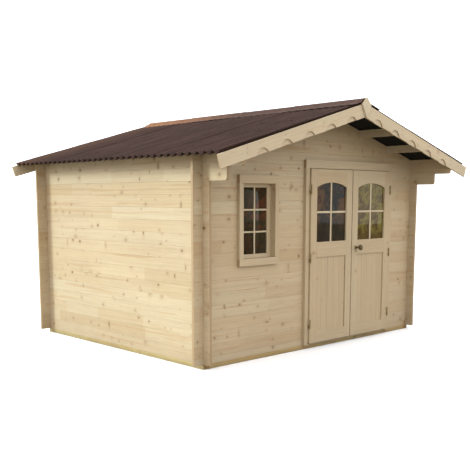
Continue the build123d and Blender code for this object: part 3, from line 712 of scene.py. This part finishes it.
def grow(tree, values, name, points=()):
    base = bpy.data.meshes.new(name + "Carrier")
    base.from_pydata([place for place, facing in points], [], [])
    layer = base.attributes.new("aim", "FLOAT_VECTOR", "POINT")
    layer.data.foreach_set("vector", [number for place, facing in points for number in facing])
    carrier = bpy.data.objects.new(name + "Carrier", base)
    bpy.context.scene.collection.objects.link(carrier)
    modifier = carrier.modifiers.new(name, "NODES")
    modifier.node_group = tree
    for item in tree.interface.items_tree:
        if item.in_out == "INPUT" and item.name in values:
            modifier[item.identifier] = values[item.name]
    evaluated = carrier.evaluated_get(bpy.context.evaluated_depsgraph_get())
    mesh = bpy.data.meshes.new_from_object(evaluated)
    mesh.name = name
    carrier.modifiers.clear()
    bpy.data.objects.remove(carrier)
    return mesh


geometryOut = {"Geometry": "NodeSocketGeometry"}


def sheetTree():
    inputs = {"Length": 2.0, "Waves": 10.0, "Pitch": 0.095, "Rise": 0.032, "Thickness": 0.003,
              "Sag": 0.003, "Across Points": 121, "Down Points": 9, "Start": (0, 0, 0), "Turn": (0, 0, 0),
              "Material": None}
    tree, given, out = newGroup("corrugatedSheet", "GeometryNodeTree", inputs, geometryOut)
    width = times(tree, given["Waves"], given["Pitch"])
    grid = addNode(tree, "GeometryNodeMeshGrid")
    setInputs(tree, grid, {"Size X": given["Length"], "Size Y": width, "Vertices X": given["Down Points"],
                           "Vertices Y": given["Across Points"]})
    position = addNode(tree, "GeometryNodeInputPosition").outputs[0]
    parts = axesOf(tree, position)
    acrossWidth = timesPlus(tree, width, 0.5, parts[1])
    phase = times(tree, calc(tree, "DIVIDE", acrossWidth, given["Pitch"]), 2 * pi)
    wave = times(tree, calc(tree, "COSINE", phase), times(tree, given["Rise"], 0.5))
    # a slight uneven sag between the purlins
    alongShare = calc(tree, "DIVIDE", parts[0], given["Length"])
    sagShape = calc(tree, "POWER", calc(tree, "SINE", times(tree, alongShare, 3 * pi)), 2.0)
    uneven = noiseAt(tree, position, 2.3, 1.0)
    sag = times(tree, times(tree, sagShape, uneven), given["Sag"])
    lift = addNode(tree, "ShaderNodeCombineXYZ", i2=calc(tree, "SUBTRACT", wave, sag)).outputs[0]
    waved = addNode(tree, "GeometryNodeSetPosition", Geometry=grid.outputs["Mesh"], Offset=lift).outputs[0]
    down = addNode(tree, "ShaderNodeCombineXYZ", i2=times(tree, given["Thickness"], -1.0)).outputs[0]
    walls = addNode(tree, "GeometryNodeExtrudeMesh", {"mode": "FACES"}, Mesh=waved, Offset=down,
                    Individual=False)
    setInputs(tree, walls, {"Offset Scale": 1.0})
    flipped = addNode(tree, "GeometryNodeFlipFaces", Mesh=waved).outputs[0]
    joined = addNode(tree, "GeometryNodeJoinGeometry")
    tree.links.new(walls.outputs["Mesh"], joined.inputs[0])
    tree.links.new(flipped, joined.inputs[0])
    merged = addNode(tree, "GeometryNodeMergeByDistance", Geometry=joined.outputs[0], Distance=0.0002)
    placed = addNode(tree, "GeometryNodeTransform", Geometry=merged.outputs[0], Translation=given["Start"],
                     Rotation=given["Turn"])
    finishTree(tree, placed.outputs[0], given, out)
    return tree


def finishTree(tree, shape, given, out):
    real = addNode(tree, "GeometryNodeRealizeInstances", Geometry=shape)
    skin = addNode(tree, "GeometryNodeSetMaterial", Geometry=real.outputs[0], Material=given["Material"])
    tree.links.new(skin.outputs[0], out["Geometry"])


def layRoof():
    sheets = {"waves": (10, 10, 10, 9), "lapWaves": 1, "lapLift": 0.0024, "pointsPerWave": 12, "rows": 17,
              "sag": 0.004}
    tree = sheetTree()
    slopeLength = roof["reach"] / cos(roofAngle) - roof["topGap"]
    middleDown = roof["topGap"] + slopeLength / 2
    for sideName, side in (("left", -1), ("right", 1)):
        down = Vector((side * cos(roofAngle), 0, -sin(roofAngle)))
        up = Vector((side * sin(roofAngle), 0, cos(roofAngle)))
        bm = bmesh.new()
        start = sheetLow.y
        for number, waves in enumerate(sheets["waves"]):
            width = waves * wavePitch
            lift = roof["rise"] / 2 + roof["thick"] / 2 + (number % 2) * sheets["lapLift"]
            centre = Vector((0, start + width / 2, roof["ridge"])) + down * middleDown + up * lift
            values = {"Length": slopeLength, "Waves": float(waves), "Pitch": wavePitch,
                      "Rise": roof["rise"] - roof["thick"], "Thickness": roof["thick"], "Sag": sheets["sag"],
                      "Across Points": waves * sheets["pointsPerWave"] + 1, "Down Points": sheets["rows"],
                      "Start": centre, "Turn": (0.0, side * roofAngle, 0.0), "Material": sheetSkin}
            bm.from_mesh(grow(tree, values, f"{sideName}Sheet{number}"))
            start += width - sheets["lapWaves"] * wavePitch
        bmesh.ops.recalc_face_normals(bm, faces=bm.faces)
        mesh = bpy.data.meshes.new(sideName + "RoofSheets")
        bm.to_mesh(mesh)
        bm.free()
        placePiece(mesh, sideName + "RoofSheets", sheetSkin, "shed",
                   (sideName + "_roof_sheet",))


# Ridge cap in lapped lengths: a roll with flanges that dip between the crests of the sheets

def layCap():
    cap = {"pieces": 4, "lap": 0.09, "lapLift": 0.0026, "rollHalf": 0.070, "rollRise": 0.026,
           "ripple": 0.0045, "dip": 0.004, "short": 0.085, "acrossFlange": 9, "acrossRoll": 10,
           "pointsPerWave": 6}
    low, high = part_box("ridge_cap")
    high.y -= cap["short"]
    half, flange, roll = cap["rollHalf"], cap["acrossFlange"], cap["acrossRoll"]
    crest = roof["rise"] / cos(roofAngle)
    shoulder = roof["ridge"] - roof["fall"] * half + crest
    peak = roof["ridge"] + crest + cap["rollRise"]

    def capHeight(x, y):
        if abs(x) < half:
            return shoulder + (peak - shoulder) * (1 - (x / half) ** 2)
        share = (abs(x) - half) / ((high.x if x > 0 else -low.x) - half)
        valley = 0.5 - 0.5 * cos(2 * pi * (y - sheetLow.y) / wavePitch)
        rippled = cap["ripple"] * share * (1 - share) * 2 * (1 + sin(9.0 * y + 4.0 * x))
        return roof["ridge"] - roof["fall"] * abs(x) + crest - cap["dip"] * valley * share + rippled

    across = [low.x + (-half - low.x) * i / flange for i in range(flange)]
    across += [half * (2 * i / roll - 1) for i in range(roll)]
    across += [half + (high.x - half) * i / flange for i in range(flange + 1)]
    last = len(across) - 1
    length = (high.y - low.y + cap["lap"] * (cap["pieces"] - 1)) / cap["pieces"]
    stations = int(length / wavePitch * cap["pointsPerWave"])
    bm = bmesh.new()
    for number in range(cap["pieces"]):
        start = low.y + number * (length - cap["lap"])
        raised = cap["lapLift"] if number % 2 == 0 else 0.0
        skins = []
        for depth in (roof["thick"], 0.0):
            places = [start + length * j / stations for j in range(stations + 1)]
            skins.append([[bm.verts.new((x, y, capHeight(x, y) + raised + depth)) for x in across]
                          for y in places])
        top, under = skins
        for j in range(stations):
            for i in range(last):
                bm.faces.new((top[j][i], top[j][i + 1], top[j + 1][i + 1], top[j + 1][i]))
                bm.faces.new((under[j][i], under[j + 1][i], under[j + 1][i + 1], under[j][i + 1]))
            for i in (0, last):
                bm.faces.new((top[j][i], top[j + 1][i], under[j + 1][i], under[j][i]))
        for j in (0, stations):
            for i in range(last):
                bm.faces.new((top[j][i], under[j][i], under[j][i + 1], top[j][i + 1]))
    meshPiece(bm, "ridgeCapLengths", capSkin, "shed", ("ridge_cap",), 50)


layRoof()
layCap()
print("roof laid")


# Screws and roofing nails: one head with a recess, set on points and turned to face outward

def fastenerTree():
    inputs = {"Radius": 0.005, "Height": 0.0015, "Recess": 0.001, "Sides": 12, "Material": None}
    tree, given, out = newGroup("fastenerHeads", "GeometryNodeTree", inputs, geometryOut)
    disc = addNode(tree, "GeometryNodeMeshCircle", {"fill_type": "NGON"}, Vertices=given["Sides"],
                   Radius=given["Radius"]).outputs[0]
    shape = disc
    top = True
    steps = ((given["Height"], 0.55, 0.95), (given["Height"], 0.45, 0.74), (given["Height"], 0.0, 0.62),
             (given["Recess"], -1.0, 0.85))
    for size, share, narrowing in steps:
        raised = addNode(tree, "GeometryNodeExtrudeMesh", {"mode": "FACES"}, Mesh=shape, Selection=top,
                         Individual=False)
        setInputs(tree, raised, {"Offset Scale": times(tree, size, share)})
        top = raised.outputs["Top"]
        shape = addNode(tree, "GeometryNodeScaleElements", Geometry=raised.outputs["Mesh"], Selection=top,
                        Scale=narrowing).outputs[0]
    joined = addNode(tree, "GeometryNodeJoinGeometry")
    tree.links.new(shape, joined.inputs[0])
    tree.links.new(addNode(tree, "GeometryNodeFlipFaces", Mesh=disc).outputs[0], joined.inputs[0])
    head = addNode(tree, "GeometryNodeMergeByDistance", Geometry=joined.outputs[0], Distance=0.00001)
    aim = addNode(tree, "GeometryNodeInputNamedAttribute", {"data_type": "FLOAT_VECTOR"}, Name="aim")
    turned = addNode(tree, "FunctionNodeAlignRotationToVector", {"axis": "Z"}, Vector=aim.outputs[0])
    spread = addNode(tree, "GeometryNodeInstanceOnPoints", Points=given["Geometry"],
                     Instance=head.outputs[0], Rotation=turned.outputs[0])
    finishTree(tree, spread.outputs[0], given, out)
    return tree


def roofNailPoints():
    nails = {"rows": (0.72, 1.13, 1.60), "everyWaves": 2, "sunk": 0.001}
    points = []
    for side in (-1, 1):
        up = Vector((side * sin(roofAngle), 0, cos(roofAngle)))
        for x in nails["rows"]:
            for number in range(1, roof["waves"], nails["everyWaves"]):
                y = sheetLow.y + number * wavePitch
                foot = Vector((side * x, y, roof["ridge"] - roof["fall"] * x))
                points.append((tuple(foot + up * (roof["rise"] - nails["sunk"])), tuple(up)))
    return points


def boardScrewPoints():
    screws = {"along": (0.63, 1.13, 1.60), "drops": (0.024, 0.064)}
    points = []
    for end, way in (("front", -1), ("back", 1)):
        for side, sign in (("left", -1), ("right", 1)):
            low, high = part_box(f"{end}_{side}_bargeboard")
            face = low.y if way < 0 else high.y
            for x in screws["along"]:
                for drop in screws["drops"]:
                    z = roof["ridge"] - roof["fall"] * x - drop
                    points.append(((sign * x, face, z), (0, way, 0)))
    return points


fasteners = fastenerTree()
for name, points, sizes, material in (
        ("roofNails", roofNailPoints(), {"Radius": 0.0085, "Height": 0.0045, "Recess": 0.0}, sheetSkin),
        ("boardScrews", boardScrewPoints(), {"Radius": 0.0042, "Height": 0.0012, "Recess": 0.001},
         darkMetal)):
    heads = grow(fasteners, {**sizes, "Sides": 12, "Material": material}, name, points)
    placePiece(heads, name, material, "shed")
print("fasteners set")

hinge = {"length": 0.100, "radius": 0.0062, "split": 0.001, "heights": (0.265, 0.950, 1.645),
         "collar": 0.0046, "collarGap": 0.0002, "ahead": 0.009, "outside": 0.0025, "frameGap": 0.005,
         "frameLug": 0.005, "leafLug": 0.008, "lugInset": 0.008, "ease": 0.0008, "ring": 0.0006,
         "segments": 28}


def barrelProfile(low, high, tip):
    # a barrel with a turned ring and a rounded end: the tip at its top, or at its bottom
    r = hinge["radius"]
    turned = [(0, 0), (r * 0.35, 0), (r * 0.8, 0.0015), (r, 0.004), (r, 0.011), (r - hinge["ring"], 0.0125),
              (r, 0.014)]
    cut = [(r, hinge["ease"]), (r - hinge["ease"], 0), (0, 0)]
    lower, upper = (cut[::-1], turned[::-1]) if tip > 0 else (turned, cut)
    return [(radius, low + z) for radius, z in lower] + [(radius, high - z) for radius, z in upper]


def lugInto(bm, low, high):
    block = blockSolid(low, high)
    bmesh.ops.bevel(block, geom=block.edges[:], offset=hinge["ease"], segments=2, affect="EDGES")
    mesh = bpy.data.meshes.new("lug")
    block.to_mesh(mesh)
    block.free()
    bm.from_mesh(mesh)
    bpy.data.meshes.remove(mesh)


def buildHinges():
    fixed = bmesh.new()
    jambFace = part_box("door_jambs")[0].y
    inset = hinge["lugInset"]
    for side, sign in (("left", -1), ("right", 1)):
        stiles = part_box(side + "_leaf_stiles")
        edge = stiles[0].x if sign < 0 else stiles[1].x
        y = stiles[0].y - hinge["ahead"]
        place = Matrix.Translation((edge + sign * hinge["outside"], y, 0))
        frameEdge = edge + sign * hinge["frameGap"]
        leafSpan = sorted((edge - sign * hinge["leafLug"], edge))
        frameSpan = sorted((frameEdge, frameEdge + sign * hinge["frameLug"]))
        moving = bmesh.new()
        for height in hinge["heights"]:
            top, bottom = height + hinge["length"] / 2, height - hinge["length"] / 2
            above, below = height + hinge["split"] / 2, height - hinge["split"] / 2
            latheInto(moving, barrelProfile(above, top, 1), hinge["segments"], place)
            lugInto(moving, (leafSpan[0], y, above + inset), (leafSpan[1], stiles[0].y, top - inset))
            latheInto(fixed, barrelProfile(bottom, below, -1), hinge["segments"], place)
            collarTop = above - hinge["collarGap"]
            collar = [(0, below), (hinge["collar"], below), (hinge["collar"], collarTop), (0, collarTop)]
            latheInto(fixed, collar, hinge["segments"], place)
            lugInto(fixed, (frameSpan[0], y, bottom + inset), (frameSpan[1], jambFace, below - inset))
        meshPiece(moving, side + "LeafHingeBarrels", bronze, side + "_leaf",
                  (side + "_leaf_hinge_halves",))
    meshPiece(fixed, "frameHingeBarrels", bronze, "shed", ("frame_hinge_halves",))


buildHinges()


def buildKnob():
    # each profile is a radius and a height out from the door's face
    knob = {"segments": 40, "keyPlateRadius": 0.014,
            "rose": [(0, 0), (0.0218, 0), (0.0220, 0.0015), (0.0215, 0.0032), (0.0190, 0.0046),
                     (0.0165, 0.0050), (0.0158, 0.0044), (0.0130, 0.0044), (0.0122, 0.0058),
                     (0.0098, 0.0060), (0, 0.0060)],
            "keyPlate": [(0, 0), (0.0138, 0), (0.0140, 0.0012), (0.0132, 0.0026), (0.0105, 0.0036),
                         (0.0095, 0.0030), (0, 0.0030)],
            "head": [(0, 0.0065), (0.0098, 0.0065), (0.0100, 0.009), (0.0082, 0.0125), (0.0078, 0.030),
                     (0.0088, 0.038), (0.0125, 0.0445), (0.0185, 0.0490), (0.0255, 0.0535),
                     (0.0293, 0.0585), (0.0305, 0.0640), (0.0298, 0.0690), (0.0270, 0.0735),
                     (0.0262, 0.0738), (0.0215, 0.0762), (0.0120, 0.0777), (0, 0.0780)]}
    low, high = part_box("door_knob")
    plateLow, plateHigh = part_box("knob_plates")
    x = (low.x + high.x) / 2
    quarter = Matrix.Rotation(pi / 2, 4, "X")
    forward = Matrix.Translation((x, plateHigh.y, (low.z + high.z) / 2)) @ quarter
    keyPlace = Matrix.Translation((x, plateHigh.y, plateLow.z + knob["keyPlateRadius"])) @ quarter
    plates, head = bmesh.new(), bmesh.new()
    latheInto(plates, knob["rose"], knob["segments"], forward)
    latheInto(plates, knob["keyPlate"], knob["segments"], keyPlace)
    meshPiece(plates, "knobRoseAndKeyPlate", bronze, "right_leaf", ("knob_plates",))
    latheInto(head, knob["head"], knob["segments"], forward)
    meshPiece(head, "doorKnob", agedBronze, "knob", ("door_knob",))


buildKnob()
print("ironmongery built")


# Studio: pale floor, white surround, a low soft sun from behind the left wall, and the camera

def buildStudio():
    studio = {"floorSize": 60.0, "floorSeen": srgb(248, 248, 248), "floorBounce": (0.27, 0.235, 0.185, 1),
              "sky": 2.08, "skyColour": (0.955, 0.968, 1.0, 1), "sun": 3.40, "sunColour": (0.90, 1.04, 1.0),
              "sunAngle": 18.0, "sunHeight": 20.5, "sunSide": 48.0}
    mesh = bpy.data.meshes.new("studioFloor")
    half = studio["floorSize"] / 2
    corners = [(-half, -half, 0), (half, -half, 0), (half, half, 0), (-half, half, 0)]
    mesh.from_pydata(corners, [], [(0, 1, 2, 3)])
    floor = bpy.data.objects.new("studioFloor", mesh)
    bpy.context.scene.collection.objects.link(floor)
    paint, tree, shader = newMaterial("paleFloor")
    seen = addNode(tree, "ShaderNodeLightPath").outputs["Is Camera Ray"]
    tint = blendColours(tree, seen, studio["floorBounce"], studio["floorSeen"])
    setInputs(tree, shader, {"Base Color": tint, "Roughness": 0.9, "Specular IOR Level": 0.1})
    mesh.materials.append(paint)
    world = bpy.data.worlds.new("studioLight")
    bpy.context.scene.world = world
    world.use_nodes = True
    setInputs(world.node_tree, world.node_tree.nodes["Background"],
              {"Color": studio["skyColour"], "Strength": studio["sky"]})
    sun = bpy.data.lights.new("softSun", "SUN")
    sun.energy = studio["sun"]
    sun.angle = radians(studio["sunAngle"])
    sun.color = studio["sunColour"]
    lamp = bpy.data.objects.new("softSun", sun)
    height, turn = radians(studio["sunHeight"]), radians(studio["sunSide"])
    towards = Vector((-cos(height) * sin(turn), cos(height) * cos(turn), sin(height)))
    lamp.rotation_euler = towards.to_track_quat("Z", "Y").to_euler()
    bpy.context.scene.collection.objects.link(lamp)


def placeCamera():
    view = {"place": (-6.0518, -6.2945, 1.5701), "heading": 43.458, "tilt": -8.114, "focalPixels": 751.67,
            "centreRow": 304.17, "frameSide": 470}
    camera = bpy.data.cameras.new("camera")
    camera.sensor_width = 36
    camera.lens = view["focalPixels"] * camera.sensor_width / view["frameSide"]
    camera.shift_y = (view["centreRow"] - view["frameSide"] / 2) / view["frameSide"]
    camera.clip_end = 200
    stand = bpy.data.objects.new("camera", camera)
    stand.location = view["place"]
    stand.rotation_euler = Euler((radians(90 + view["tilt"]), 0, radians(-view["heading"])), "XYZ")
    bpy.context.scene.collection.objects.link(stand)
    bpy.context.scene.camera = stand


buildStudio()
placeCamera()
bpy.context.scene.view_settings.view_transform = "Standard"
print("studio ready")
